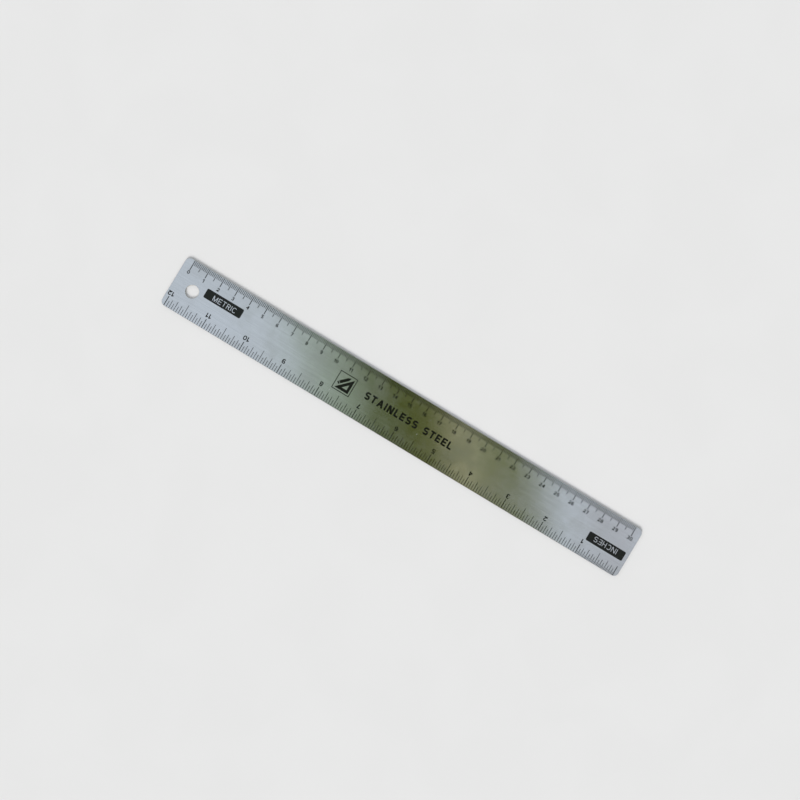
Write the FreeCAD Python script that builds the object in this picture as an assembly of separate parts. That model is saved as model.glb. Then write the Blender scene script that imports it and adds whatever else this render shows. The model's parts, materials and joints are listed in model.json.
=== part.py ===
import FreeCAD, Part

# Stainless steel ruler, 30 cm along one edge and 12 inches along the other.
#
# The blade is one flat strip of steel. Its graduations, numerals, labels and emblem are
# shallow etched recesses, each filled with black enamel that has set as its own solid.
# Identical marks share one node as a group of separate solids.
#
# Frame: the origin is the middle of the underside, +X runs along the blade towards the
# 30 cm end, +Y points to the metric edge, and +Z comes up through the graduated face.
# Everything is in millimetres.

import math
import os
from functools import lru_cache

from FreeCAD import Vector

# ---- blade ----
BLADE_LENGTH = 310.0
BLADE_WIDTH = 31.75
BLADE_THICKNESS = 1.0
CORNER_RADIUS = 3.0
EDGE_RADIUS = 0.07  # broken edges all round, and at both mouths of the hanging hole
HOLE_DIAMETER = 8.0
HOLE_FROM_END = 12.7
HOLE_OFF_MIDDLE = 0.6  # how far the hole lies towards the inch edge from the centre line

# ---- etched marks and their enamel ----
MARK_DEPTH = 0.08
ENAMEL_DROP = 0.01  # how far the enamel's face lies below the steel's
EDGE_GAP = 0.15  # the graduations start this far inside the blade's edge
BOLD_LINE = 0.47  # centimetres and whole inches

# ---- metric scale, along the +Y edge, read with that edge uppermost ----
METRIC_LENGTH = 300
METRIC_LINE = 0.39  # the width of every metric line but the centimetres
MILLIMETRE_LINE_LENGTH = 3.0
FIVE_MILLIMETRE_LINE_LENGTH = 4.9
CENTIMETRE_LINE_LENGTH = 5.9
METRIC_END_LINE_LENGTH = 6.3
METRIC_DIGIT_HEIGHT = 2.2
METRIC_DIGIT_WIDTH = 1.55
METRIC_DIGIT_GAP = 0.32
METRIC_DIGIT_STROKE = 0.45
METRIC_DIGIT_DEPTH = 7.7  # from the edge to the middle of the numerals

# ---- inch scale, along the -Y edge, read with that edge uppermost ----
INCH = 25.4
INCH_COUNT = 12
INCH_LINE = 0.32  # the width of every fraction's line but the thirty-seconds
THIRTY_SECOND_LINE_LENGTH = 2.0
SIXTEENTH_LINE_LENGTH = 3.8
EIGHTH_LINE_LENGTH = 5.0
QUARTER_LINE_LENGTH = 6.0
HALF_INCH_LINE_LENGTH = 7.5
INCH_LINE_LENGTH = 5.9
INCH_END_LINE_LENGTH = 6.2
THIRTY_SECOND_LINE = 0.22
INCH_DIGIT_HEIGHT = 2.8
INCH_DIGIT_WIDTH = 2.15
INCH_DIGIT_GAP = 0.45
INCH_DIGIT_STROKE = 0.58
INCH_DIGIT_DEPTH = 8.2
INCH_DIGIT_SHIFT = 0.25  # how far the numerals stand to the +X side of their lines

# ---- label panels: bare steel letters left standing in a black panel ----
PANEL_LENGTH = 24.6
PANEL_HEIGHT = 5.85
PANEL_CORNER_RADIUS = 0.8
METRIC_PANEL_X = -123.1
METRIC_PANEL_Y = 3.0
INCHES_PANEL_X = 140.4
INCHES_PANEL_Y = -3.05
LABEL_HEIGHT = 3.2
LABEL_STROKE = 0.36
LABEL_GAP = 0.66
LABEL_DROP = 0.3  # how far the letters sit below the middle of their panel
METRIC_LABEL_SHIFT = 0.85  # and to the right of it, as they are read
INCHES_LABEL_SHIFT = 0.35

# ---- emblem: a set square and a pencil inside a thin square frame ----
EMBLEM_X = -39.0
EMBLEM_Y = -0.5
EMBLEM_SIZE = 11.65
EMBLEM_LINE = 0.46
EMBLEM_MARGIN = 1.3  # from the frame's outside to the drawing in it
SET_SQUARE_BORDER = 1.7
PENCIL_WIDTH = 1.8
PENCIL_CLEARANCE = 0.75  # between the set square's long side and the pencil
PENCIL_POINT = 1.9
PENCIL_BAND = 0.3  # the bare gap between the pencil's body and its cap
PENCIL_CAP = 0.9

# ---- lettering along the middle of the blade ----
LETTERING = "STAINLESS STEEL"
LETTERING_X = 4.0
LETTERING_Y = 0.18
LETTERING_HEIGHT = 4.6
LETTERING_STROKE = 1.05
LETTERING_GAP = 0.95
LETTERING_SPACE = 2.2  # a word space, between the gaps on its two sides

# The digit 1 is this share of the other digits' width.
DIGIT_ONE_SHARE = 0.62

# Letter widths as a share of the letter's height. The letter I is one stroke wide.
LETTER_WIDTH = {
    "A": 0.86,
    "C": 0.78,
    "E": 0.66,
    "H": 0.72,
    "L": 0.62,
    "M": 0.88,
    "N": 0.78,
    "R": 0.66,
    "S": 0.74,
    "T": 0.70,
}

UP = Vector(0, 0, 1)
ORIGIN = Vector(0, 0, 0)


# ---- flat outlines, all in the XY plane at z = 0 ----


def polygon(points):
    """A face with straight sides through the given (x, y) corners, taken anticlockwise."""
    corners = [Vector(x, y, 0) for x, y in points]
    return Part.Face(Part.makePolygon(corners + corners[:1]))


def bar(x0, y0, x1, y1):
    """An upright rectangle between two opposite corners."""
    return polygon([(x0, y0), (x1, y0), (x1, y1), (x0, y1)])


def slant(x0, y0, x1, y1, across):
    """A sloping stroke with level ends, 'across' wide along X, from its two left corners."""
    return polygon([(x0, y0), (x0 + across, y0), (x1 + across, y1), (x1, y1)])


def level_cut(stroke, run, rise):
    """How wide a sloping stroke is when it is cut level."""
    return stroke * math.hypot(run, rise) / abs(rise)


def bend(x, y, outer, stroke, start, end):
    """A curved stroke round (x, y) with the given outer radius, anticlockwise in degrees."""
    centre = Vector(x, y, 0)

    def at(radius, degrees):
        turn = math.radians(degrees)
        return centre + Vector(radius * math.cos(turn), radius * math.sin(turn), 0)

    middle = (start + end) / 2
    inner = outer - stroke
    outside = Part.Arc(at(outer, start), at(outer, middle), at(outer, end)).toShape()
    inside = Part.Arc(at(inner, end), at(inner, middle), at(inner, start)).toShape()
    closing = Part.makeLine(at(outer, end), at(inner, end))
    opening = Part.makeLine(at(inner, start), at(outer, start))
    return Part.Face(Part.Wire([outside, closing, inside, opening]))


def rounded_rectangle(length, height, radius):
    """A rectangle with round corners, centred on the origin."""
    sharp = Part.makePlane(length, height, Vector(-length / 2, -height / 2, 0))
    block = sharp.extrude(UP)
    uprights = [e for e in block.Edges if abs(e.tangentAt(e.FirstParameter).z) > 0.5]
    rounded = block.makeFillet(radius, uprights)
    return next(f for f in rounded.Faces if f.BoundBox.ZMax < 1e-6)


def joined(faces):
    """Overlapping or touching flat faces made into one outline each."""
    if len(faces) == 1:
        return faces
    return faces[0].fuse(faces[1:]).removeSplitter().Faces


def placed(face, x, y, half_turn=False):
    """A copy of a face, turned upside down if asked, then moved to (x, y)."""
    copy = face.copy()
    if half_turn:
        copy.rotate(ORIGIN, UP, 180)
    copy.translate(Vector(x, y, 0))
    return copy


# ---- digits: w is the width, h the height and t the stroke ----


def digit_0(w, h, t):
    r = w / 2
    return [
        bend(r, h - r, r, t, 0, 180),
        bend(r, r, r, t, 180, 360),
        bar(0, r, t, h - r),
        bar(w - t, r, w, h - r),
    ]


def digit_1(w, h, t):
    left = w - t
    fall = 0.15 * h
    flag = [
        (0, h - fall),
        (0, h - fall - 1.2 * t),
        (left + t, h - 1.2 * t),
        (left + t, h),
        (left + 0.3 * t, h),
    ]
    return [bar(left, 0, left + t, h), polygon(flag)]


def digit_2(w, h, t):
    # the sloping stroke leaves the bend along its tangent and ends at the foot's top left
    r = w / 2
    inner = r - t
    run, drop = -r, t - (h - r)
    turn = math.atan2(drop, run) + math.acos(inner / math.hypot(run, drop))
    out = (math.cos(turn), math.sin(turn))
    stroke = [
        (0, t),
        (t * out[0], t + t * out[1]),
        (r + r * out[0], h - r + r * out[1]),
        (r + inner * out[0], h - r + inner * out[1]),
    ]
    degrees = math.degrees(turn)
    start = degrees if degrees < 90 else degrees - 360
    return [bend(r, h - r, r, t, start, 165), polygon(stroke), bar(0, 0, w, t)]


def digit_3(w, h, t):
    r = (h + t) / 4
    middle = (h - t) / 2
    return [
        bend(r, h - r, r, t, 90, 155),
        bar(r, h - t, w - r, h),
        bend(w - r, h - r, r, t, -90, 90),
        bar(0.4 * w, middle, w - r, middle + t),
        bend(w - r, r, r, t, -90, 90),
        bar(r, 0, w - r, t),
        bend(r, r, r, t, 205, 270),
    ]


def digit_4(w, h, t):
    post = 0.66 * w
    shelf = 0.22 * h
    across = level_cut(t, post, h - shelf)
    return [
        bar(post, 0, post + t, h),
        bar(0, shelf, w, shelf + t),
        slant(0, shelf, post + t - across, h, across),
    ]


def digit_5(w, h, t):
    bowl = 0.63 * h
    r = bowl / 2
    left = 0.08 * w
    return [
        bar(left, h - t, 0.94 * w, h),
        bar(left, bowl - t, left + t, h),
        bar(left, bowl - t, w - r, bowl),
        bend(w - r, r, r, t, -90, 90),
        bar(r, 0, w - r, t),
        bend(r, r, r, t, 210, 270),
    ]


def digit_6(w, h, t):
    bowl = 0.61 * h
    r = bowl / 2
    top = w / 2
    return [
        bend(w - r, r, r, t, -90, 90),
        bend(r, r, r, t, 90, 270),
        bar(r, bowl - t, w - r, bowl),
        bar(r, 0, w - r, t),
        bar(0, r, t, h - top),
        bend(top, h - top, top, t, 30, 180),
    ]


def digit_7(w, h, t):
    foot = 0.24 * w
    across = level_cut(t, w - foot, h)
    return [bar(0, h - t, w, h), slant(foot, 0, w - across, h, across)]


def digit_8(w, h, t):
    r = (h + t) / 4
    middle = (h - t) / 2
    inset = min(0.05 * w, w / 2 - r)
    return [
        bend(w - r, r, r, t, -90, 90),
        bend(r, r, r, t, 90, 270),
        bend(w - r - inset, h - r, r, t, -90, 90),
        bend(r + inset, h - r, r, t, 90, 270),
        bar(r, 0, w - r, t),
        bar(r, middle, w - r, middle + t),
        bar(r + inset, h - t, w - r - inset, h),
    ]


def digit_9(w, h, t):
    return [placed(face, w, h, half_turn=True) for face in digit_6(w, h, t)]


# ---- letters, with the same three arguments ----


def letter_a(w, h, t):
    across = level_cut(t, w / 2, h)
    peak = (w - across) / 2
    rail = 0.24 * h
    inset = across / 2 + peak * rail / h
    return [
        slant(0, 0, peak, h, across),
        slant(w - across, 0, peak, h, across),
        bar(inset, rail, w - inset, rail + t),
    ]


def letter_c(w, h, t):
    r = w / 2
    return [
        bend(r, h - r, r, t, 38, 180),
        bar(0, r, t, h - r),
        bend(r, r, r, t, 180, 322),
    ]


def letter_e(w, h, t):
    middle = (h - t) / 2
    return [
        bar(0, 0, t, h),
        bar(0, 0, w, t),
        bar(0, middle, 0.92 * w, middle + t),
        bar(0, h - t, w, h),
    ]


def letter_h(w, h, t):
    middle = (h - t) / 2
    return [bar(0, 0, t, h), bar(w - t, 0, w, h), bar(0, middle, w, middle + t)]


def letter_i(w, h, t):
    return [bar(0, 0, w, h)]


def letter_l(w, h, t):
    return [bar(0, 0, t, h), bar(0, 0, w, t)]


def letter_m(w, h, t):
    across = level_cut(t, w / 2, h)
    foot = (w - across) / 2
    return [
        bar(0, 0, t, h),
        bar(w - t, 0, w, h),
        slant(foot, 0, 0, h, across),
        slant(foot, 0, w - across, h, across),
    ]


def letter_n(w, h, t):
    across = level_cut(t, w, h)
    return [bar(0, 0, t, h), bar(w - t, 0, w, h), slant(w - across, 0, 0, h, across)]


def letter_r(w, h, t):
    r = 0.27 * h
    waist = h - 2 * r
    knee = 0.42 * w
    across = level_cut(t, w - knee, waist)
    return [
        bar(0, 0, t, h),
        bar(0, h - t, w - r, h),
        bend(w - r, h - r, r, t, -90, 90),
        bar(0, waist, w - r, waist + t),
        slant(w - across, 0, knee, waist + t / 2, across),
    ]


def letter_s(w, h, t):
    r = (h + t) / 4
    middle = (h - t) / 2
    return [
        bend(w - r, h - r, r, t, 28, 90),
        bar(r, h - t, w - r, h),
        bend(r, h - r, r, t, 90, 270),
        bar(r, middle, w - r, middle + t),
        bend(w - r, r, r, t, -90, 90),
        bar(r, 0, w - r, t),
        bend(r, r, r, t, 208, 270),
    ]


def letter_t(w, h, t):
    return [bar(0, h - t, w, h), bar((w - t) / 2, 0, (w + t) / 2, h)]


DRAWN = {
    "0": digit_0,
    "1": digit_1,
    "2": digit_2,
    "3": digit_3,
    "4": digit_4,
    "5": digit_5,
    "6": digit_6,
    "7": digit_7,
    "8": digit_8,
    "9": digit_9,
    "A": letter_a,
    "C": letter_c,
    "E": letter_e,
    "H": letter_h,
    "I": letter_i,
    "L": letter_l,
    "M": letter_m,
    "N": letter_n,
    "R": letter_r,
    "S": letter_s,
    "T": letter_t,
}


@lru_cache(maxsize=None)
def glyph(character, width, height, stroke):
    """One character's faces, with its lower left corner at the origin."""
    return tuple(joined(DRAWN[character](width, height, stroke)))


def number(value, width, height, stroke, gap):
    """A whole number centred on the origin, its ones narrower than its other digits."""
    digits = str(value)
    widths = [width * DIGIT_ONE_SHARE if digit == "1" else width for digit in digits]
    left = -(sum(widths) + gap * (len(digits) - 1)) / 2
    faces = []
    for digit, own_width in zip(digits, widths):
        faces += [
            placed(face, left, -height / 2) for face in glyph(digit, own_width, height, stroke)
        ]
        left += own_width + gap
    return faces


def words(text, height, stroke, gap, space=0.0):
    """Capital letters with even gaps, centred on the origin."""
    widths = [
        {" ": space, "I": stroke}.get(letter, height * LETTER_WIDTH.get(letter, 0))
        for letter in text
    ]
    left = -(sum(widths) + gap * (len(text) - 1)) / 2
    faces = []
    for letter, width in zip(text, widths):
        if letter != " ":
            drawn = glyph(letter, width, height, stroke)
            faces += [placed(face, left, -height / 2) for face in drawn]
        left += width + gap
    return faces


# ---- scales ----


def metric_x(millimetres):
    return millimetres - METRIC_LENGTH / 2


def inch_x(inches):
    # the inch scale runs the other way, so that it reads from the left when turned round
    return (INCH_COUNT / 2 - inches) * INCH


def metric_lines(places, length, width=METRIC_LINE):
    """Graduations at these millimetres, hanging from the +Y edge."""
    top = BLADE_WIDTH / 2
    return [
        bar(metric_x(at) - width / 2, top - length, metric_x(at) + width / 2, top - EDGE_GAP)
        for at in places
    ]


def inch_lines(places, length, width=INCH_LINE):
    """Graduations at these inches, standing on the -Y edge."""
    foot = -BLADE_WIDTH / 2
    return [
        bar(inch_x(at) - width / 2, foot + EDGE_GAP, inch_x(at) + width / 2, foot + length)
        for at in places
    ]


def odd_parts(parts, inches=INCH_COUNT):
    """The odd multiples of 1/parts of an inch over the first so many inches."""
    return [count / parts for count in range(1, inches * parts, 2)]


def metric_numerals():
    y = BLADE_WIDTH / 2 - METRIC_DIGIT_DEPTH
    size = (METRIC_DIGIT_WIDTH, METRIC_DIGIT_HEIGHT, METRIC_DIGIT_STROKE, METRIC_DIGIT_GAP)
    return [
        placed(face, metric_x(10 * centimetre), y)
        for centimetre in range(METRIC_LENGTH // 10 + 1)
        for face in number(centimetre, *size)
    ]


def inch_numerals():
    y = INCH_DIGIT_DEPTH - BLADE_WIDTH / 2
    size = (INCH_DIGIT_WIDTH, INCH_DIGIT_HEIGHT, INCH_DIGIT_STROKE, INCH_DIGIT_GAP)
    return [
        placed(face, inch_x(inch) + INCH_DIGIT_SHIFT, y, half_turn=True)
        for inch in range(1, INCH_COUNT + 1)
        for face in number(inch, *size)
    ]


# ---- labels, emblem and lettering ----


def label_panel(text, shift, x, y, half_turn=False):
    """A rounded panel with the letters left out of it, low and to the right of its middle."""
    panel = rounded_rectangle(PANEL_LENGTH, PANEL_HEIGHT, PANEL_CORNER_RADIUS)
    letters = words(text, LABEL_HEIGHT, LABEL_STROKE, LABEL_GAP)
    bare = panel.cut([placed(face, shift, -LABEL_DROP) for face in letters])
    return [placed(face, x, y, half_turn) for face in bare.Faces]


def emblem_frame():
    outside = EMBLEM_SIZE / 2
    inside = outside - EMBLEM_LINE
    frame = bar(-outside, -outside, outside, outside).cut(bar(-inside, -inside, inside, inside))
    return [placed(face, EMBLEM_X, EMBLEM_Y) for face in frame.Faces]


def emblem_set_square():
    """A 45-degree set square with a like-shaped opening, its right angle at the lower right."""
    reach = EMBLEM_SIZE / 2 - EMBLEM_MARGIN
    outer = polygon([(-reach, -reach), (reach, -reach), (reach, reach)])
    near = reach - SET_SQUARE_BORDER
    far = reach - (1 + math.sqrt(2)) * SET_SQUARE_BORDER
    opening = polygon([(-far, -near), (near, -near), (near, far)])
    return [placed(face, EMBLEM_X, EMBLEM_Y) for face in outer.cut(opening).Faces]


def emblem_pencil():
    """A pencil along the set square's long side: a cap, a body and a point."""
    half = PENCIL_WIDTH / 2
    offset = PENCIL_CLEARANCE + half
    reach = EMBLEM_SIZE / 2 - EMBLEM_MARGIN
    tail = math.sqrt(2) * reach - offset - half
    tip = math.sqrt(2) * reach - offset
    neck = tip - PENCIL_POINT
    cap_end = PENCIL_CAP - tail
    body = [
        (cap_end + PENCIL_BAND, -half),
        (neck, -half),
        (tip, 0),
        (neck, half),
        (cap_end + PENCIL_BAND, half),
    ]
    faces = [bar(-tail, -half, cap_end, half), polygon(body)]
    for face in faces:
        face.translate(Vector(0, offset, 0))
        face.rotate(ORIGIN, UP, 45)
    return [placed(face, EMBLEM_X, EMBLEM_Y) for face in faces]


def lettering():
    faces = words(
        LETTERING, LETTERING_HEIGHT, LETTERING_STROKE, LETTERING_GAP, LETTERING_SPACE
    )
    return [placed(face, LETTERING_X, LETTERING_Y) for face in faces]


def mark_outlines():
    """Every marking's node name and its flat outlines."""
    whole_inches = range(1, INCH_COUNT)
    centimetres = range(10, METRIC_LENGTH, 10)
    millimetres = [at for at in range(1, METRIC_LENGTH) if at % 5]
    return {
        "millimetre_lines": metric_lines(millimetres, MILLIMETRE_LINE_LENGTH),
        "five_millimetre_lines": metric_lines(
            range(5, METRIC_LENGTH, 10), FIVE_MILLIMETRE_LINE_LENGTH
        ),
        "centimetre_lines": metric_lines(centimetres, CENTIMETRE_LINE_LENGTH, BOLD_LINE),
        "metric_end_lines": metric_lines((0, METRIC_LENGTH), METRIC_END_LINE_LENGTH, BOLD_LINE),
        "centimetre_numerals": metric_numerals(),
        "thirty_second_inch_lines": inch_lines(
            odd_parts(32, inches=1), THIRTY_SECOND_LINE_LENGTH, THIRTY_SECOND_LINE
        ),
        "sixteenth_inch_lines": inch_lines(odd_parts(16), SIXTEENTH_LINE_LENGTH),
        "eighth_inch_lines": inch_lines(odd_parts(8), EIGHTH_LINE_LENGTH),
        "quarter_inch_lines": inch_lines(odd_parts(4), QUARTER_LINE_LENGTH),
        "half_inch_lines": inch_lines(odd_parts(2), HALF_INCH_LINE_LENGTH),
        "inch_lines": inch_lines(whole_inches, INCH_LINE_LENGTH, BOLD_LINE),
        "inch_end_lines": inch_lines((0, INCH_COUNT), INCH_END_LINE_LENGTH, BOLD_LINE),
        "inch_numerals": inch_numerals(),
        "metric_label_panel": label_panel(
            "METRIC", METRIC_LABEL_SHIFT, METRIC_PANEL_X, METRIC_PANEL_Y
        ),
        "inches_label_panel": label_panel(
            "INCHES", INCHES_LABEL_SHIFT, INCHES_PANEL_X, INCHES_PANEL_Y, half_turn=True
        ),
        "emblem_frame": emblem_frame(),
        "emblem_set_square": emblem_set_square(),
        "emblem_pencil": emblem_pencil(),
        "stainless_steel_lettering": lettering(),
    }


# ---- solids ----


def raised(faces, bottom, top):
    """Prisms on flat outlines, between two heights."""
    prisms = []
    for face in faces:
        base = face.copy()
        base.translate(Vector(0, 0, bottom))
        prisms.append(base.extrude(Vector(0, 0, top - bottom)))
    return prisms


def steel_blade(outlines):
    """The strip with its hanging hole and broken edges, and a recess for every mark."""
    strip = rounded_rectangle(BLADE_LENGTH, BLADE_WIDTH, CORNER_RADIUS).extrude(
        Vector(0, 0, BLADE_THICKNESS)
    )
    hole_foot = Vector(HOLE_FROM_END - BLADE_LENGTH / 2, -HOLE_OFF_MIDDLE, -1)
    drill = Part.makeCylinder(HOLE_DIAMETER / 2, BLADE_THICKNESS + 2, hole_foot)
    pierced = strip.cut(drill)
    rims = [e for e in pierced.Edges if e.BoundBox.ZLength < 1e-6]
    broken = pierced.makeFillet(EDGE_RADIUS, rims)
    floor = BLADE_THICKNESS - MARK_DEPTH
    recesses = raised(outlines, floor, BLADE_THICKNESS + 1)
    return broken.cut(recesses).Solids[0]


def enamel(outlines):
    """The set enamel in the recesses of one kind of mark."""
    floor = BLADE_THICKNESS - MARK_DEPTH
    return Part.makeCompound(raised(outlines, floor, BLADE_THICKNESS - ENAMEL_DROP))


def main():
    os.makedirs("parts", exist_ok=True)
    marks = mark_outlines()
    every_outline = [face for faces in marks.values() for face in faces]
    steel_blade(every_outline).exportStep("parts/steel_blade.step")
    for node, faces in marks.items():
        enamel(faces).exportStep("parts/" + node + ".step")


main()
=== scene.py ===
"""The looks of a stainless steel ruler, 30 cm along one edge and 12 inches along the other.

The blade keeps its shape from the frame and gets a brushed, handled steel. Each kind of etched
mark is filled anew with enamel whose surface climbs to the walls of its recess, as it sets.
Everything is in metres, in the frame's own axes: +X along the blade towards the 30 cm end, +Y to
the metric edge and +Z up through the graduated face.
"""

import json
import logging
import math
from dataclasses import dataclass
from enum import Enum
from functools import cached_property

import bpy
import numpy as np
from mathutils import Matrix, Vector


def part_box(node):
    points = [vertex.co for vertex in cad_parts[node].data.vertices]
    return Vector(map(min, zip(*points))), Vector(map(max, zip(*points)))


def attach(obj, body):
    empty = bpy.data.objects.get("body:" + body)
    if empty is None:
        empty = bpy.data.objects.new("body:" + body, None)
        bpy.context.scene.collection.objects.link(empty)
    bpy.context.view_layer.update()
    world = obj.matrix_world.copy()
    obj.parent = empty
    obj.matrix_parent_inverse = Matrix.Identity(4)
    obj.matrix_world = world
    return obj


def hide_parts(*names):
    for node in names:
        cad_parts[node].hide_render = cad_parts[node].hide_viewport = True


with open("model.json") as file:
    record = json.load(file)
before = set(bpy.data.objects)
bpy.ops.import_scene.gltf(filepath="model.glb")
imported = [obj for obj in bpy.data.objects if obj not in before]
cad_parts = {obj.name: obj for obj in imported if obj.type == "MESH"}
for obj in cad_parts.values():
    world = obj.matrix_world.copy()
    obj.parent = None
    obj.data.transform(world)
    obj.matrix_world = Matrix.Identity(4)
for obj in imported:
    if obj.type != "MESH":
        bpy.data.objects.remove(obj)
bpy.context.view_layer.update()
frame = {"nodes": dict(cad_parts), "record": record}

LOG = logging.getLogger("ruler")

MM = 0.001
MICRON = 0.000001
BODY = "root"
BLADE_NODE = "steel_blade"

Socket = bpy.types.NodeSocket
Sockets = bpy.types.bpy_prop_collection
Colour = tuple[float, float, float, float]
Feed = Socket | float | tuple[float, ...]


def linear(red: float, green: float, blue: float) -> Colour:
    """An opaque colour from its linear red, green and blue."""
    return (red, green, blue, 1.0)


# ---- building node trees ----


class Graph:
    """Adds nodes to one node tree, taking sockets or plain values alike."""

    def __init__(self, tree: bpy.types.NodeTree) -> None:
        """Starts on an empty tree.

        Args:
            tree: the tree of a material, a world or a node group.
        """
        self.tree = tree
        tree.nodes.clear()

    def feed(self, target: Socket, value: Feed) -> None:
        """Links a socket to an input, or sets the input's own value.

        Args:
            target: the input socket.
            value: an output socket, a number or a tuple of numbers.
        """
        if isinstance(value, Socket):
            self.tree.links.new(value, target)
        else:
            target.default_value = value

    def node(
        self, kind: str, inputs: dict[str | int, Feed] | None = None, **settings: object
    ) -> bpy.types.Node:
        """Adds one node.

        Args:
            kind: the node's type name.
            inputs: what feeds each input, by its name or number.
            settings: the node's own properties.

        Returns:
            The new node.
        """
        made = self.tree.nodes.new(kind)
        for name, value in settings.items():
            setattr(made, name, value)
        for key, value in (inputs or {}).items():
            self.feed(made.inputs[key], value)
        return made

    def maths(self, operation: str, first: Feed, second: Feed = 0.0) -> Socket:
        """A Math node on one or two values.

        Args:
            operation: the operation's name, such as "MULTIPLY".
            first: the first value.
            second: the second value, where the operation has one.

        Returns:
            The result.
        """
        return self.node("ShaderNodeMath", {0: first, 1: second}, operation=operation).outputs[0]

    def product(self, first: Feed, second: Feed) -> Socket:
        """The product of two values."""
        return self.maths("MULTIPLY", first, second)

    def total(self, *values: Feed) -> Socket:
        """The sum of two or more values.

        Args:
            values: what is added up.

        Returns:
            The sum.
        """
        result = values[0]
        for value in values[1:]:
            result = self.maths("ADD", result, value)
        return result

    def remap(
        self, value: Feed, low: Feed, high: Feed, to_low: Feed = 0.0, to_high: Feed = 1.0
    ) -> Socket:
        """Takes a range of values smoothly to another, and holds it there beyond its ends.

        Args:
            value: the value to take over.
            low: where the range starts.
            high: where the range ends.
            to_low: what the start becomes.
            to_high: what the end becomes.

        Returns:
            The new value.
        """
        inputs = {"Value": value, "From Min": low, "From Max": high, "To Min": to_low, "To Max": to_high}
        return self.node("ShaderNodeMapRange", inputs, interpolation_type="SMOOTHSTEP").outputs[0]

    def blend(self, share: Feed, first: Feed, second: Feed) -> Socket:
        """Mixes two colours.

        The Mix node holds sockets for every type of value, and the colours' are told by number.

        Args:
            share: how much of the second colour, from 0 to 1.
            first: the colour at 0.
            second: the colour at 1.

        Returns:
            The mixed colour.
        """
        made = self.node("ShaderNodeMix", data_type="RGBA")
        self.feed(made.inputs["Factor"], share)
        self.feed(made.inputs[6], first)
        self.feed(made.inputs[7], second)
        return made.outputs[2]

    def noise(
        self, place: Feed, scale: Feed = 1.0, detail: float = 2.0, distortion: float = 0.0
    ) -> Socket:
        """A cloud of values round 0.5.

        Args:
            place: the coordinates.
            scale: how many features there are to a unit of length.
            detail: how many finer layers are laid over the first.
            distortion: how far the cloud is folded into itself.

        Returns:
            The cloud's value.
        """
        inputs = {"Vector": place, "Scale": scale, "Detail": detail, "Distortion": distortion}
        return self.node("ShaderNodeTexNoise", inputs).outputs[0]

    def group(self, tree: bpy.types.NodeTree, **inputs: Feed) -> Socket:
        """Places a node group.

        Args:
            tree: the group.
            inputs: what feeds its inputs; an underscore stands for a space in a name.

        Returns:
            The group's one output.
        """
        named = {name.replace("_", " "): value for name, value in inputs.items()}
        return self.node("ShaderNodeGroup", named, node_tree=tree).outputs[0]


# ---- effects that several finishes share ----


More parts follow.
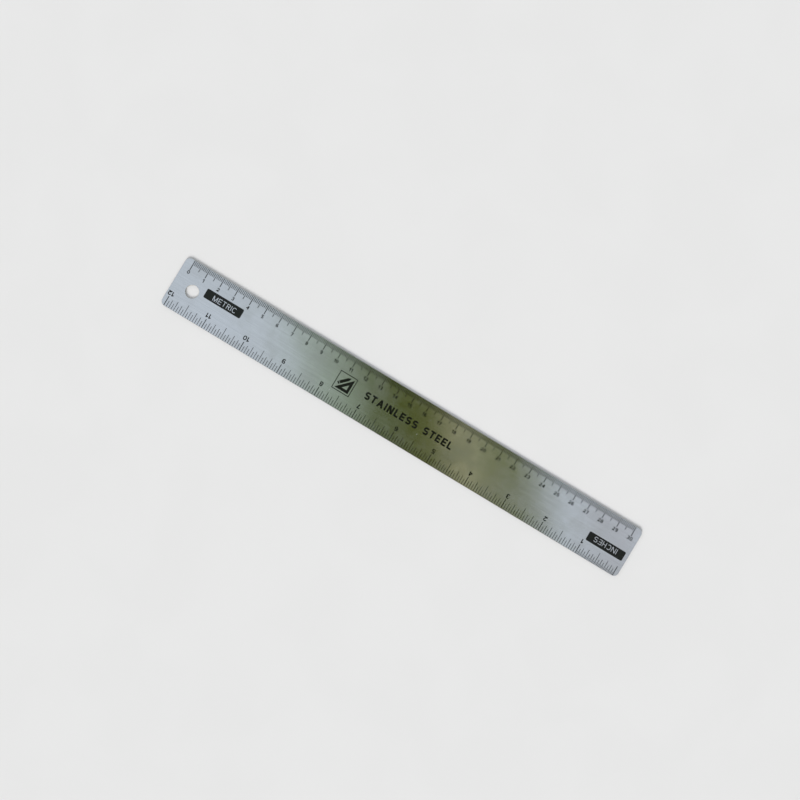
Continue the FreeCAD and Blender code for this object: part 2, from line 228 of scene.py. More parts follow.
class SharedEffects:
    """The node groups that the finishes are made of, each built the first time it is asked for.

    The row shift is in cells, and the fades and the scratch's band are shares of its cell. The
    ragged detail is in features to a metre, the ragged reach is a share of the wear's width, and
    a speck's core and rim are shares of the spacing.
    """

    stroke_range: tuple[float, float] = (0.3, 0.7)
    scratch_band: tuple[float, float] = (0.3, 0.7)
    row_shift: float = 5.0
    fade_in: float = 0.12
    fade_out: float = 0.45
    ragged_detail: float = 900.0
    ragged_range: tuple[float, float] = (0.25, 0.75)
    ragged_reach: tuple[float, float] = (0.35, 1.6)
    speck_size: tuple[float, float] = (0.05, 0.12)

    @staticmethod
    def start(name: str, inputs: dict[str, float], output: str) -> tuple[Graph, Sockets, Socket]:
        """Opens a new node group with a place input, some numbers and one output.

        Args:
            name: the group's name.
            inputs: the default of each number.
            output: the name of the value that it puts out.

        Returns:
            The graph to build in, the inputs by name, and the socket to feed.
        """
        tree = bpy.data.node_groups.new(name, "ShaderNodeTree")
        graph = Graph(tree)
        tree.interface.new_socket(name="Place", in_out="INPUT", socket_type="NodeSocketVector")
        for label, default in inputs.items():
            socket = tree.interface.new_socket(name=label, in_out="INPUT", socket_type="NodeSocketFloat")
            socket.default_value = default
        tree.interface.new_socket(name=output, in_out="OUTPUT", socket_type="NodeSocketFloat")
        source = graph.node("NodeGroupInput")
        target = graph.node("NodeGroupOutput")
        return graph, source.outputs, target.inputs[output]

    @staticmethod
    def stretched(graph: Graph, place: Feed, length: Feed, pitch: Feed) -> Socket:
        """Coordinates counted in strokes: along X by the stroke's length, across it by the pitch.

        Args:
            graph: the graph to build in.
            place: the coordinates.
            length: how long a stroke is.
            pitch: how far apart strokes lie.

        Returns:
            The coordinates in strokes.
        """
        strokes = graph.node("ShaderNodeCombineXYZ", {0: length, 1: pitch, 2: pitch}).outputs[0]
        inputs = {0: place, 1: strokes}
        return graph.node("ShaderNodeVectorMath", inputs, operation="DIVIDE").outputs[0]

    @cached_property
    def grain(self) -> bpy.types.NodeTree:
        """Brush strokes that run lengthwise, from 0 in the furrows to 1 on the ridges.

        Returns:
            The node group.
        """
        numbers = {"Length": 0.02, "Pitch": 0.0004}
        graph, given, target = self.start("Lengthwise Grain", numbers, "Stroke")
        strokes = self.stretched(graph, given["Place"], given["Length"], given["Pitch"])
        graph.feed(target, graph.remap(graph.noise(strokes, detail=3.0), *self.stroke_range))
        return graph.tree

    @cached_property
    def hairlines(self) -> bpy.types.NodeTree:
        """Straight scratches, up to 1 in a scratch and 0 between them.

        Each scratch has its own long cell, and the amount is the share of cells that have one.
        The cells lie in rows that are shifted at random along the scratches. With s along the
        cell and t across it, both from 0 to 1, a scratch runs where t = a + (b - 1/2)(s - 1/2),
        where a and b are random numbers of the cell. It fades out towards its far end.

        Returns:
            The node group.
        """
        numbers = {"Angle": 0.0, "Length": 0.02, "Pitch": 0.001, "Width": 0.00002, "Amount": 0.2}
        graph, given, target = self.start("Hairlines", numbers, "Scratch")
        inputs = {"Vector": given["Place"], "Angle": given["Angle"]}
        turned = graph.node("ShaderNodeVectorRotate", inputs, rotation_type="Z_AXIS").outputs[0]
        strokes = self.stretched(graph, turned, given["Length"], given["Pitch"])
        axes = graph.node("ShaderNodeSeparateXYZ", {0: strokes}).outputs
        row = graph.maths("FLOOR", axes[1])
        by_row = graph.node("ShaderNodeTexWhiteNoise", {"W": row}, noise_dimensions="1D")
        shift = by_row.outputs["Value"]
        along = graph.maths("ADD", axes[0], graph.product(shift, self.row_shift))
        cell = graph.node("ShaderNodeCombineXYZ", {0: graph.maths("FLOOR", along), 1: row}).outputs[0]
        by_cell = graph.node("ShaderNodeTexWhiteNoise", {"Vector": cell}, noise_dimensions="2D")
        random = graph.node("ShaderNodeSeparateColor", {0: by_cell.outputs["Color"]}).outputs
        share = graph.maths("FRACT", along)
        lean = graph.maths("SUBTRACT", random[1], 0.5)
        middle = graph.remap(random[0], 0.0, 1.0, *self.scratch_band)
        line = graph.total(middle, graph.product(lean, graph.maths("SUBTRACT", share, 0.5)))
        off = graph.maths("ABSOLUTE", graph.maths("SUBTRACT", graph.maths("FRACT", axes[1]), line))
        distance = graph.product(off, given["Pitch"])
        core = graph.remap(distance, given["Width"], 0.0)
        faded = graph.product(core, graph.remap(share, 0.0, self.fade_in))
        faded = graph.product(faded, graph.remap(share, 1.0, self.fade_out))
        depth = graph.remap(random[2], given["Amount"], 0.0)
        graph.feed(target, graph.product(faded, depth))
        return graph.tree

    @cached_property
    def clouds(self) -> bpy.types.NodeTree:
        """Soft patches of one size, as smudges, stains or the slow waves of a rolled sheet.

        Returns:
            The node group.
        """
        numbers = {"Size": 0.02, "Low": 0.35, "High": 0.65, "Seed": 0.0}
        graph, given, target = self.start("Soft Clouds", numbers, "Cloud")
        scale = graph.maths("DIVIDE", 1.0, given["Size"])
        offset = graph.node("ShaderNodeCombineXYZ", {0: given["Seed"], 1: given["Seed"]}).outputs[0]
        inputs = {0: given["Place"], 1: offset}
        moved = graph.node("ShaderNodeVectorMath", inputs, operation="ADD").outputs[0]
        cloud = graph.noise(moved, scale, detail=3.0, distortion=0.4)
        graph.feed(target, graph.remap(cloud, given["Low"], given["High"]))
        return graph.tree

    @cached_property
    def edge_wear(self) -> bpy.types.NodeTree:
        """Rubbing along a blade's outline: 1 at the edge, falling to 0 a ragged width inside it.

        The distance to a rectangle with round corners is worked out from q, the place folded into
        one quarter and measured from the corner's centre: the length of q's positive part, plus
        the larger side of q where both are negative, less the corner's radius.

        Returns:
            The node group.
        """
        numbers = {"Half Length": 0.155, "Half Width": 0.016, "Corner": 0.003, "Width": 0.0008}
        graph, given, target = self.start("Edge Wear", numbers, "Wear")
        axes = graph.node("ShaderNodeSeparateXYZ", {0: given["Place"]}).outputs
        sides = []
        for axis, half in ((0, "Half Length"), (1, "Half Width")):
            straight = graph.maths("SUBTRACT", given[half], given["Corner"])
            sides.append(graph.maths("SUBTRACT", graph.maths("ABSOLUTE", axes[axis]), straight))
        beyond = [graph.maths("MAXIMUM", side, 0.0) for side in sides]
        squares = [graph.product(part, part) for part in beyond]
        outside = graph.maths("SQRT", graph.total(*squares))
        inside = graph.maths("MINIMUM", graph.maths("MAXIMUM", *sides), 0.0)
        distance = graph.maths("SUBTRACT", graph.total(outside, inside), given["Corner"])
        raggedness = graph.noise(given["Place"], self.ragged_detail)
        ragged = graph.remap(raggedness, *self.ragged_range, *self.ragged_reach)
        reach = graph.product(given["Width"], ragged)
        graph.feed(target, graph.remap(graph.product(distance, -1.0), reach, 0.0))
        return graph.tree

    @cached_property
    def dust(self) -> bpy.types.NodeTree:
        """Separate specks of dust and lint, 1 on each speck.

        Returns:
            The node group.
        """
        graph, given, target = self.start("Dust", {"Spacing": 0.002, "Amount": 0.05}, "Speck")
        scale = graph.maths("DIVIDE", 1.0, given["Spacing"])
        speck = graph.node("ShaderNodeTexVoronoi", {"Vector": given["Place"], "Scale": scale})
        core, rim = self.speck_size
        near = graph.remap(speck.outputs["Distance"], rim, core)
        shade = graph.node("ShaderNodeSeparateColor", {0: speck.outputs["Color"]}).outputs[0]
        chosen = graph.maths("LESS_THAN", shade, given["Amount"])
        graph.feed(target, graph.product(near, chosen))
        return graph.tree


EFFECTS = SharedEffects()


# ---- finishes ----


@dataclass(frozen=True)
class Effect:
    """How far an effect tints, roughens and lifts a surface where its mask is 1."""

    tint: float = 0.0
    roughen: float = 0.0
    lift: float = 0.0


Layers = tuple[tuple[Effect, Socket], ...]


def fresh_material(name: str) -> tuple[bpy.types.Material, Graph, Socket]:
    """An empty material to build in.

    Args:
        name: the material's name.

    Returns:
        The material, its graph, and the Object coordinates in it.
    """
    made = bpy.data.materials.new(name)
    made.use_nodes = True
    graph = Graph(made.node_tree)
    return made, graph, graph.node("ShaderNodeTexCoord").outputs["Object"]


def roughened(graph: Graph, base: float, layers: Layers) -> Socket:
    """A roughness with what each layer adds to it.

    Args:
        graph: the material's graph.
        base: the roughness of the bare surface.
        layers: the effects with their masks.

    Returns:
        The roughness.
    """
    added = [graph.product(mask, effect.roughen) for effect, mask in layers if effect.roughen]
    return graph.total(base, *added)


def relief(graph: Graph, layers: Layers) -> Socket:
    """The normals of a surface that each layer lifts, or sinks where its lift is negative.

    Args:
        graph: the material's graph.
        layers: the effects with their masks.

    Returns:
        The normals.
    """
    lifts = [graph.product(mask, effect.lift) for effect, mask in layers if effect.lift]
    inputs = {"Strength": 1.0, "Distance": 1.0, "Height": graph.total(*lifts)}
    return graph.node("ShaderNodeBump", inputs).outputs[0]


@dataclass(frozen=True)
class Outline:
    """The blade's outline: a rectangle round the origin, with round corners."""

    half_length: float
    half_width: float
    corner: float

    def rim(self, graph: Graph, place: Socket, width: float) -> Socket:
        """A ragged rim along the inside of the outline.

        Args:
            graph: the material's graph.
            place: the coordinates.
            width: how far in the rim reaches, more or less.

        Returns:
            1 on the outline and past it, falling to 0 inside the rim.
        """
        sizes = {"Half_Length": self.half_length, "Half_Width": self.half_width, "Corner": self.corner}
        return graph.group(EFFECTS.edge_wear, Place=place, Width=width, **sizes)


@dataclass(frozen=True)
class Hairline:
    """One kind of scratch.

    Its cells are a length by a pitch, turned by an angle, and the amount is the share of them
    that hold a scratch of the width.
    """

    angle: float
    length: float
    pitch: float
    width: float
    amount: float


@dataclass(frozen=True)
class SatinSteel:
    """Stainless steel, brushed lengthwise and marked by years of knives, pencils and fingers."""

    outline: Outline
    furrow: Colour = linear(0.53, 0.53, 0.51)
    ridge: Colour = linear(0.62, 0.62, 0.6)
    stain: Colour = linear(0.45, 0.44, 0.41)
    polished: Colour = linear(0.7, 0.7, 0.69)
    sheared: Colour = linear(0.42, 0.42, 0.4)
    roughness: float = 0.1
    sheared_width: float = 0.16 * MM
    fine_grain: Effect = Effect(tint=0.6, roughen=0.02, lift=0.8 * MICRON)
    broad_grain: Effect = Effect(tint=0.4, lift=0.8 * MICRON)
    smudging: Effect = Effect(tint=0.3, roughen=0.04)
    blotching: Effect = Effect(tint=0.12, roughen=0.02)
    waviness: Effect = Effect(lift=60 * MICRON)
    scratching: Effect = Effect(tint=0.7, roughen=0.06, lift=-1.5 * MICRON)
    shearing: Effect = Effect(tint=1.0, roughen=0.15)
    dusting: Effect = Effect(roughen=0.3, lift=12 * MICRON)
    hairlines: tuple[Hairline, ...] = (
        Hairline(0.02, 26 * MM, 0.5 * MM, 0.018 * MM, 0.3),
        Hairline(-0.13, 15 * MM, 0.9 * MM, 0.02 * MM, 0.16),
        Hairline(0.7, 9 * MM, 1.3 * MM, 0.022 * MM, 0.1),
        Hairline(-1.2, 6 * MM, 1.7 * MM, 0.03 * MM, 0.07),
    )

    def material(self) -> bpy.types.Material:
        """The finish as a material on Object coordinates.

        Returns:
            The material.
        """
        made, graph, place = fresh_material("satin_stainless_steel")
        fine = graph.group(EFFECTS.grain, Place=place, Length=9 * MM, Pitch=0.12 * MM)
        broad = graph.group(EFFECTS.grain, Place=place, Length=55 * MM, Pitch=0.9 * MM)
        smudge = graph.group(EFFECTS.clouds, Place=place, Size=24 * MM, Low=0.42, High=0.72)
        blotch = graph.group(EFFECTS.clouds, Place=place, Size=7 * MM, Low=0.3, High=0.75, Seed=3.0)
        waves = graph.group(EFFECTS.clouds, Place=place, Size=45 * MM, Low=0.1, High=0.9, Seed=7.0)
        speck = graph.group(EFFECTS.dust, Place=place, Spacing=3 * MM, Amount=0.04)
        wear = self.outline.rim(graph, place, self.sheared_width)
        scratches = self.scratches(graph, place)
        layers = (
            (self.fine_grain, fine),
            (self.broad_grain, broad),
            (self.smudging, smudge),
            (self.blotching, blotch),
            (self.waviness, waves),
            (self.scratching, scratches),
            (self.shearing, wear),
            (self.dusting, speck),
        )

        fine_share = graph.product(fine, self.fine_grain.tint)
        broad_share = graph.product(broad, self.broad_grain.tint)
        colour = graph.blend(graph.total(fine_share, broad_share), self.furrow, self.ridge)
        colour = graph.blend(graph.product(smudge, self.smudging.tint), colour, self.stain)
        colour = graph.blend(graph.product(blotch, self.blotching.tint), colour, self.stain)
        colour = graph.blend(graph.product(wear, self.shearing.tint), colour, self.sheared)
        colour = graph.blend(graph.product(scratches, self.scratching.tint), colour, self.polished)
        shader = graph.node(
            "ShaderNodeBsdfPrincipled",
            {
                "Base Color": colour,
                "Metallic": 1.0,
                "Roughness": roughened(graph, self.roughness, layers),
                "Normal": relief(graph, layers),
            },
        )
        graph.node("ShaderNodeOutputMaterial", {"Surface": shader.outputs[0]})
        return made

    def scratches(self, graph: Graph, place: Socket) -> Socket:
        """Hairlines in every direction that a ruler is rubbed in.

        Args:
            graph: the material's graph.
            place: the coordinates.

        Returns:
            The scratches, from 0 to 1.
        """
        result = None
        for kind in self.hairlines:
            numbers = {
                "Angle": kind.angle,
                "Length": kind.length,
                "Pitch": kind.pitch,
                "Width": kind.width,
                "Amount": kind.amount,
            }
            lines = graph.group(EFFECTS.hairlines, Place=place, **numbers)
            result = lines if result is None else graph.maths("MAXIMUM", result, lines)
        return result


@dataclass(frozen=True)
class BlackEnamel:
    """Enamel baked into the etched marks, a little dulled by handling."""

    name: str
    deep: Colour = linear(0.0022, 0.003, 0.001)
    dulled: Colour = linear(0.0045, 0.0056, 0.0028)
    lint: Colour = linear(0.2, 0.2, 0.19)
    roughness: float = 0.2
    specular_level: float = 0.25
    toning: Effect = Effect(tint=1.0, roughen=0.1)
    peeling: Effect = Effect(lift=1.2 * MICRON)
    wiping: Effect = Effect(roughen=-0.08, lift=0.4 * MICRON)
    dusting: Effect = Effect(tint=0.5, roughen=0.3, lift=10 * MICRON)

    def material(self) -> bpy.types.Material:
        """The finish as a material on Object coordinates.

        Returns:
            The material.
        """
        made, graph, place = fresh_material(self.name)
        tone = graph.group(EFFECTS.clouds, Place=place, Size=2.2 * MM, Low=0.3, High=0.7, Seed=1.0)
        peel = graph.group(EFFECTS.clouds, Place=place, Size=0.35 * MM, Low=0.2, High=0.8, Seed=5.0)
        wiped = graph.group(EFFECTS.grain, Place=place, Length=4 * MM, Pitch=0.15 * MM)
        speck = graph.group(EFFECTS.dust, Place=place, Spacing=1.1 * MM, Amount=0.06)
        layers = (
            (self.toning, tone),
            (self.peeling, peel),
            (self.wiping, wiped),
            (self.dusting, speck),
        )

        colour = graph.blend(graph.product(tone, self.toning.tint), self.deep, self.dulled)
        colour = graph.blend(graph.product(speck, self.dusting.tint), colour, self.lint)
        shader = graph.node(
            "ShaderNodeBsdfPrincipled",
            {
                "Base Color": colour,
                "Roughness": roughened(graph, self.roughness, layers),
                "Specular IOR Level": self.specular_level,
                "Normal": relief(graph, layers),
            },
        )
        graph.node("ShaderNodeOutputMaterial", {"Surface": shader.outputs[0]})
        return made


@dataclass(frozen=True)
class PaleFloor:
    """A matt, faintly mottled studio surface, with a window under the ruler.

    The window shows the ruler's underside to a view from below. It stays just inside the
    outline and clear of the hanging hole, so nothing of it shows from above.
    """

    outline: Outline
    hole_middle: tuple[float, float, float]
    hole_radius: float
    margin: float = 0.3 * MM
    light: Colour = linear(0.625, 0.61, 0.592)
    shade: Colour = linear(0.617, 0.602, 0.584)
    roughness: float = 0.85

    def window(self, graph: Graph, place: Socket) -> Socket:
        """Where the floor is left out.

        Args:
            graph: the material's graph.
            place: the coordinates.

        Returns:
            1 in the window, and 0 on the floor. The window starts about half a margin inside
            the outline, and a whole one outside the hole.
        """
        past_rim = graph.maths("LESS_THAN", self.outline.rim(graph, place, self.margin), 0.5)
        ends = {0: place, 1: self.hole_middle}
        away = graph.node("ShaderNodeVectorMath", ends, operation="DISTANCE").outputs["Value"]
        past_hole = graph.maths("GREATER_THAN", away, self.hole_radius + self.margin)
        return graph.product(past_rim, past_hole)

    def material(self) -> bpy.types.Material:
        """The finish as a material on Object coordinates.

        Returns:
            The material.
        """
        made, graph, place = fresh_material("pale_floor")
        mottle = graph.group(EFFECTS.clouds, Place=place, Size=60 * MM)
        shader = graph.node(
            "ShaderNodeBsdfPrincipled",
            {"Base Color": graph.blend(mottle, self.light, self.shade), "Roughness": self.roughness},
        )
        clear = graph.node("ShaderNodeBsdfTransparent").outputs[0]
        layers = {0: self.window(graph, place), 1: shader.outputs[0], 2: clear}
        cut = graph.node("ShaderNodeMixShader", layers).outputs[0]
        graph.node("ShaderNodeOutputMaterial", {"Surface": cut})
        return made


# ---- the ruler ----


class Fill(Enum):
    """How wide an etched recess is, which sets how far its enamel curves up at the walls."""

    FINE = 0.07 * MM
    STROKE = 0.1 * MM
    WIDE = 0.12 * MM


@dataclass
class Blade:
    """The steel strip, which keeps its shape from the frame."""

    node: str = BLADE_NODE
    corner: float = 3.0 * MM

    def outline(self) -> Outline:
        """The strip's outline, as large as the frame's."""
        low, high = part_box(self.node)
        return Outline((high.x - low.x) / 2, (high.y - low.y) / 2, self.corner)

    def dress(self) -> bpy.types.Object:
        """Gives the strip its steel.

        Returns:
            The frame's own object.
        """
        blade = frame["nodes"][self.node]
        blade.data.materials.clear()
        blade.data.materials.append(SatinSteel(self.outline()).material())
        LOG.info("%s: %d triangles in satin steel", blade.name, len(blade.data.polygons))
        return blade


@dataclass
class EnamelFill:
    """The enamel in every recess of one kind of mark.

    Its sides and foot are those of the frame's solids. Its face starts at the walls just under
    the steel, and dips to its own level over the fill's reach.
    """

    node: str
    fill: Fill
    rim_drop: float = 0.002 * MM
    dip: float = 0.014 * MM
    rings: int = 3
    sharpest: float = 1.6
    least_turn: float = 0.2
    crease: float = math.radians(35.0)

    def welded(self) -> tuple[np.ndarray, np.ndarray]:
        """The frame's triangles on shared corners.

        Returns:
            The corners as an n by 3 array, and the triangles as an m by 3 array of their numbers.
        """
        mesh = frame["nodes"][self.node].data
        corners = np.empty(len(mesh.vertices) * 3, np.float32)
        mesh.vertices.foreach_get("co", corners)
        triangles = np.empty(len(mesh.loops), np.int32)
        mesh.loops.foreach_get("vertex_index", triangles)
        shared, numbers = np.unique(corners.reshape(-1, 3), axis=0, return_inverse=True)
        return shared.astype(float), numbers.reshape(-1)[triangles].reshape(-1, 3)

    @staticmethod
    def outline(cap: np.ndarray, count: int) -> tuple[np.ndarray, np.ndarray]:
        """The directed edges round the face, with the enamel on their left.

        An edge is on the outline where no triangle of the face uses it the other way round.

        Args:
            cap: the face's triangles.
            count: how many corners the mesh has.

        Returns:
            The corner that each edge starts from, and the one it runs to.
        """
        start = cap.reshape(-1)
        end = np.roll(cap, -1, axis=1).reshape(-1)
        alone = ~np.isin(start * count + end, end * count + start)
        return start[alone], end[alone]

    def inward(self, corners: np.ndarray, start: np.ndarray, end: np.ndarray) -> np.ndarray:
        """Which way each outline corner moves when the outline draws in by one unit.

        With unit normals m and n of the edges before and after a corner, that is the mitre
        (m + n) / (1 + m.n), cut to the sharpest length. The divisor never falls under the least
        turn, where an outline doubles back on itself.

        Args:
            corners: the mesh's corners.
            start: the corner that each edge starts from.
            end: the corner that it runs to.

        Returns:
            A row for each edge's starting corner, with its x and y.
        """
        run = (corners[end] - corners[start])[:, :2]
        normal = np.stack((-run[:, 1], run[:, 0]), axis=1) / np.linalg.norm(run, axis=1, keepdims=True)
        arriving = np.empty(len(corners), int)
        arriving[end] = np.arange(len(end))
        before = normal[arriving[start]]
        turn = 1 + (before * normal).sum(axis=1, keepdims=True)
        mitre = (before + normal) / turn.clip(self.least_turn)
        length = np.linalg.norm(mitre, axis=1, keepdims=True)
        return mitre * np.minimum(1.0, self.sharpest / length)

    def surface(self) -> tuple[np.ndarray, list[list[int]]]:
        """The enamel's corners and faces.

        Ring k of the face lies the share t = k / rings of the reach inside the wall, and the
        dip times 1 - (1 - t) squared below the rim, which is a parabola that ends level.

        Returns:
            The corners as an array, and each face's corner numbers.
        """
        corners, triangles = self.welded()
        top = corners[:, 2].max()
        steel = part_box(BLADE_NODE)[1].z
        is_cap = (corners[triangles][:, :, 2] > top - MICRON).all(axis=1)
        cap, walls = triangles[is_cap], triangles[~is_cap]
        start, end = self.outline(cap, len(corners))
        inward = self.inward(corners, start, end)

        rank = np.full(len(corners), -1)
        rank[start] = np.arange(len(start))
        share = np.arange(1, self.rings + 1) / self.rings
        corners[corners[:, 2] > top - MICRON, 2] = steel - self.rim_drop
        rings = np.repeat(corners[start][None], self.rings, axis=0)
        rings[:, :, :2] += inward[None] * self.fill.value * share[:, None, None]
        rings[:, :, 2] -= self.dip * (1 - (1 - share[:, None]) ** 2)

        fresh = len(corners) + np.arange(self.rings * len(start)).reshape(self.rings, -1)
        levels = np.vstack((start, fresh))
        ahead = rank[end]
        quads = np.stack((levels[:-1], levels[:-1][:, ahead], levels[1:][:, ahead], levels[1:]), axis=-1)
        flat = levels[-1][rank[cap]]
        faces = walls.tolist() + quads.reshape(-1, 4).tolist() + flat.tolist()
        return np.vstack((corners, rings.reshape(-1, 3))), faces

    def build(self, finish: bpy.types.Material) -> bpy.types.Object:
        """Makes the enamel as one piece that stands for its node.

        Args:
            finish: the enamel's material.

        Returns:
            The piece, riding on the ruler's body.
        """
        corners, faces = self.surface()
        mesh = bpy.data.meshes.new(self.node + "_enamel")
        mesh.from_pydata(corners.tolist(), [], faces)
        mesh.shade_smooth()
        mesh.set_sharp_from_angle(angle=self.crease)
        mesh.materials.append(finish)
        piece = bpy.data.objects.new(mesh.name, mesh)
        bpy.context.scene.collection.objects.link(piece)
        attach(piece, BODY)
        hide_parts(self.node)
        LOG.info("%s: %d faces", piece.name, len(mesh.polygons))
        return piece


@dataclass
class Markings:
    """Every kind of mark on the blade: the two scales, the labels, the emblem and the lettering."""

    fine: tuple[str, ...] = (
        "millimetre_lines",
        "five_millimetre_lines",
        "thirty_second_inch_lines",
        "sixteenth_inch_lines",
        "eighth_inch_lines",
        "quarter_inch_lines",
        "half_inch_lines",
    )
    stroke: tuple[str, ...] = (
        "centimetre_lines",
        "metric_end_lines",
        "centimetre_numerals",
        "inch_lines",
        "inch_end_lines",
        "inch_numerals",
        "emblem_frame",
    )
    wide: tuple[str, ...] = (
        "metric_label_panel",
        "inches_label_panel",
        "emblem_set_square",
        "emblem_pencil",
        "stainless_steel_lettering",
    )

    def build(self) -> list[bpy.types.Object]:
        """Fills every recess with the enamel of its material slot.

        Returns:
            The enamel pieces.
        """
        slots = {part["node"]: part["material_slot"] for part in frame["record"]["subparts"]}
        enamels = sorted(set(slots.values()) - {slots[BLADE_NODE]})
        finishes = {slot: BlackEnamel(slot).material() for slot in enamels}
        fills = {Fill.FINE: self.fine, Fill.STROKE: self.stroke, Fill.WIDE: self.wide}
        pieces = []
        for fill, nodes in fills.items():
            for node in nodes:
                piece = EnamelFill(node, fill).build(finishes[slots[node]])
                pieces.append(piece)
        return pieces


# ---- the studio ----


@dataclass(frozen=True)
class CeilingBand:
    """A band of colour across the ceiling. Its middle, half width and fade are slopes."""

    middle: float
    half_width: float
    fade: float
    colour: Colour

    def over(self, graph: Graph, slope: Socket, below: Socket | Colour) -> Socket:
        """Lays the band over a colour, with soft sides.

        Args:
            graph: the world's graph.
            slope: how far along the ceiling a direction points.
            below: what the band covers.

        Returns:
            The colour with the band on it.
        """
        off = graph.maths("ABSOLUTE", graph.maths("SUBTRACT", slope, self.middle))
        cover = graph.remap(off, self.half_width + self.fade, self.half_width)
        return graph.blend(cover, below, self.colour)


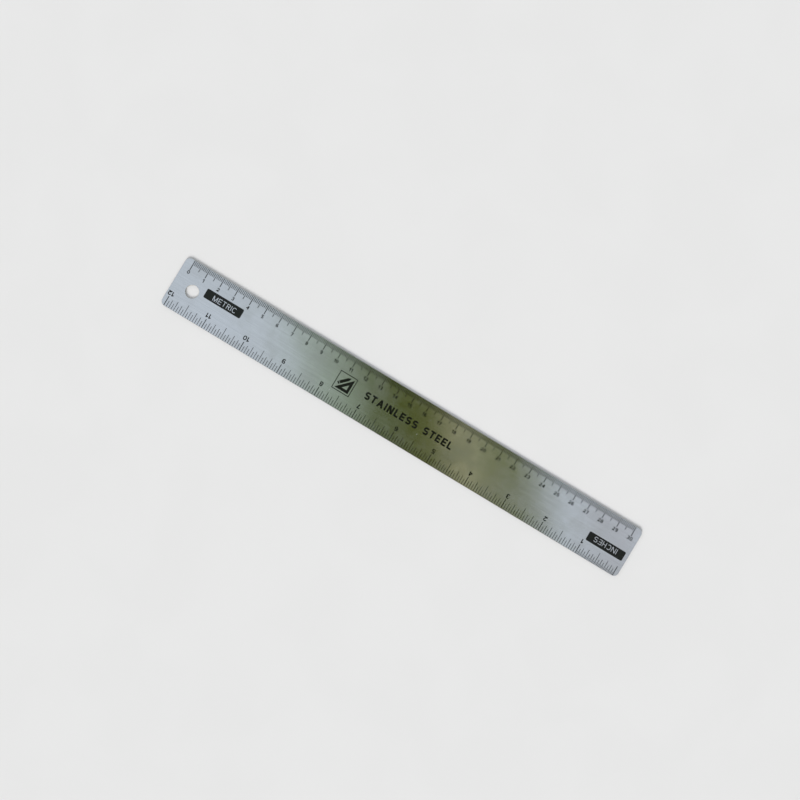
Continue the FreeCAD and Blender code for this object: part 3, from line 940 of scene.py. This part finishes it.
@dataclass
class Studio:
    """A pale floor under a soft ceiling, one key light, and the camera straight above."""

    floor_radius: float = 5.0
    floor_rings: int = 24
    floor_spokes: int = 96
    floor_gap: float = 0.02 * MM
    key_strength: float = 3.7
    key_spread: float = math.radians(29.0)
    key_elevation: float = math.radians(32.0)
    key_azimuth: float = math.radians(-84.0)
    camera_place: tuple[float, float, float] = (-10.9 * MM, 5.65 * MM, 453.7 * MM)
    camera_degrees: tuple[float, float, float] = (-0.04, -0.62, 31.1)
    camera_lens: float = 35.0
    camera_sensor: float = 36.0
    ceiling: Colour = linear(0.65, 0.65, 0.65)
    window_side: Colour = linear(1.0, 1.0, 1.0)
    room_side: Colour = linear(0.48, 0.485, 0.49)
    overhead: Colour = linear(0.79, 0.88, 1.02)
    lean: float = 0.6
    band_ends: tuple[float, float] = (0.3, 0.8)
    full_side: float = 0.9
    wall_tops: tuple[float, float] = (0.75, 0.2)
    lowest_rise: float = 0.01
    haze: CeilingBand = CeilingBand(-0.055, 0.04, 0.1, linear(0.41, 0.51, 0.42))
    near_beam: CeilingBand = CeilingBand(0.03, 0.04, 0.07, linear(0.08, 0.1, 0.0))
    far_beam: CeilingBand = CeilingBand(0.17, 0.01, 0.09, linear(0.15, 0.175, 0.025))
    gap: CeilingBand = CeilingBand(0.105, 0.0, 0.03, linear(0.64, 0.6, 0.37))
    cloud: CeilingBand = CeilingBand(0.34, 0.02, 0.03, linear(0.63, 0.65, 0.73))

    def floor(self) -> bpy.types.Object:
        """A round floor of quads, a hair under the ruler, so that no two faces coincide.

        Ring k has the radius (k / rings) squared times the floor's, so the quads are small
        round the ruler. The first ring closes on one corner in the middle.

        Returns:
            The floor, which isn't part of the ruler.
        """
        share = np.arange(1, self.floor_rings + 1) / self.floor_rings
        turn = np.arange(self.floor_spokes) * (2 * math.pi / self.floor_spokes)
        radius = self.floor_radius * share[:, None] ** 2
        across, along = radius * np.cos(turn), radius * np.sin(turn)
        around = np.stack((across, along, np.full_like(across, -self.floor_gap)), axis=-1)
        corners = np.vstack(([0.0, 0.0, -self.floor_gap], around.reshape(-1, 3)))
        numbers = 1 + np.arange(self.floor_rings * self.floor_spokes).reshape(self.floor_rings, -1)
        onward = np.roll(numbers, -1, axis=1)
        quads = np.stack((numbers[:-1], numbers[1:], onward[1:], onward[:-1]), axis=-1).reshape(-1, 4)
        middle = np.stack((np.zeros(self.floor_spokes, int), numbers[0], onward[0]), axis=-1)
        mesh = bpy.data.meshes.new("studio_floor")
        mesh.from_pydata(corners.tolist(), [], quads.tolist() + middle.tolist())
        mesh.materials.append(self.floor_finish().material())
        floor = bpy.data.objects.new("studio_floor", mesh)
        bpy.context.scene.collection.objects.link(floor)
        return floor

    def floor_finish(self) -> PaleFloor:
        """The floor's finish, with its window where the blade and its hanging hole are.

        Returns:
            The finish.
        """
        hole = next(mount for mount in frame["record"]["mounts"] if mount["name"] == "hanging_hole")
        middle = (*hole["pos_m"][:2], -self.floor_gap)
        return PaleFloor(Blade().outline(), middle, hole["dims"]["r_mm"] * MM)

    def key_light(self) -> bpy.types.Object:
        """A wide soft light, far beyond the inch edge, as even over the floor as a big window's.

        The steel doesn't mirror it, so no view of the blade burns out.

        Returns:
            The light.
        """
        lamp = bpy.data.lights.new("key_light", "SUN")
        lamp.energy = self.key_strength
        lamp.angle = self.key_spread
        light = bpy.data.objects.new("key_light", lamp)
        light.rotation_euler = (math.pi / 2 - self.key_elevation, 0.0, self.key_azimuth + math.pi / 2)
        light.visible_camera = False
        light.visible_glossy = False
        bpy.context.scene.collection.objects.link(light)
        return light

    def surroundings(self) -> bpy.types.World:
        """The ceiling that the steel mirrors, with two dark olive beams across it overhead.

        A direction's slope is its x, or y, over its z. The bands lie where the x slope, plus a
        share of the y slope, is near their middle, and they end where the y slope is large. The
        walls take over from the ceiling where a direction's z falls from the first wall top to
        the second. They are brighter towards -X than towards +X, and reach each side's colour
        where x is the full side.

        Returns:
            The world.
        """
        world = bpy.data.worlds.new("surroundings")
        world.use_nodes = True
        graph = Graph(world.node_tree)
        direction = graph.node("ShaderNodeTexCoord").outputs["Generated"]
        axes = graph.node("ShaderNodeSeparateXYZ", {0: direction}).outputs
        rise = graph.maths("MAXIMUM", axes[2], self.lowest_rise)
        along = graph.maths("DIVIDE", axes[0], rise)
        across = graph.maths("DIVIDE", axes[1], rise)
        slope = graph.maths("ADD", along, graph.product(across, self.lean))
        bands = self.overhead
        for band in (self.haze, self.near_beam, self.far_beam, self.gap, self.cloud):
            bands = band.over(graph, slope, bands)
        ends = graph.remap(graph.maths("ABSOLUTE", across), *self.band_ends)
        ceiling = graph.blend(ends, bands, self.ceiling)
        side = graph.remap(axes[0], -self.full_side, self.full_side)
        walls = graph.blend(side, self.window_side, self.room_side)
        colour = graph.blend(graph.remap(axes[2], *self.wall_tops), ceiling, walls)
        background = graph.node("ShaderNodeBackground", {"Color": colour, "Strength": 1.0})
        graph.node("ShaderNodeOutputWorld", {"Surface": background.outputs[0]})
        bpy.context.scene.world = world
        return world

    def camera(self) -> bpy.types.Object:
        """Looks almost straight down, turned so that the ruler runs down to the right.

        Returns:
            The camera.
        """
        lens = bpy.data.cameras.new("camera")
        lens.lens = self.camera_lens
        lens.sensor_width = self.camera_sensor
        lens.sensor_fit = "HORIZONTAL"
        camera = bpy.data.objects.new("camera", lens)
        camera.location = self.camera_place
        camera.rotation_euler = tuple(math.radians(turn) for turn in self.camera_degrees)
        bpy.context.scene.collection.objects.link(camera)
        bpy.context.scene.camera = camera
        return camera

    def build(self) -> None:
        """Sets the whole studio up."""
        self.floor()
        self.key_light()
        self.surroundings()
        self.camera()
        bpy.context.scene.view_settings.view_transform = "Standard"
        LOG.info("studio: floor, key light, surroundings and camera")


def main() -> None:
    """Dresses the blade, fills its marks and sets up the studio."""
    logging.basicConfig(level=logging.INFO, format="%(name)s: %(message)s")
    Blade().dress()
    Markings().build()
    Studio().build()


if __name__ == "__main__":
    main()
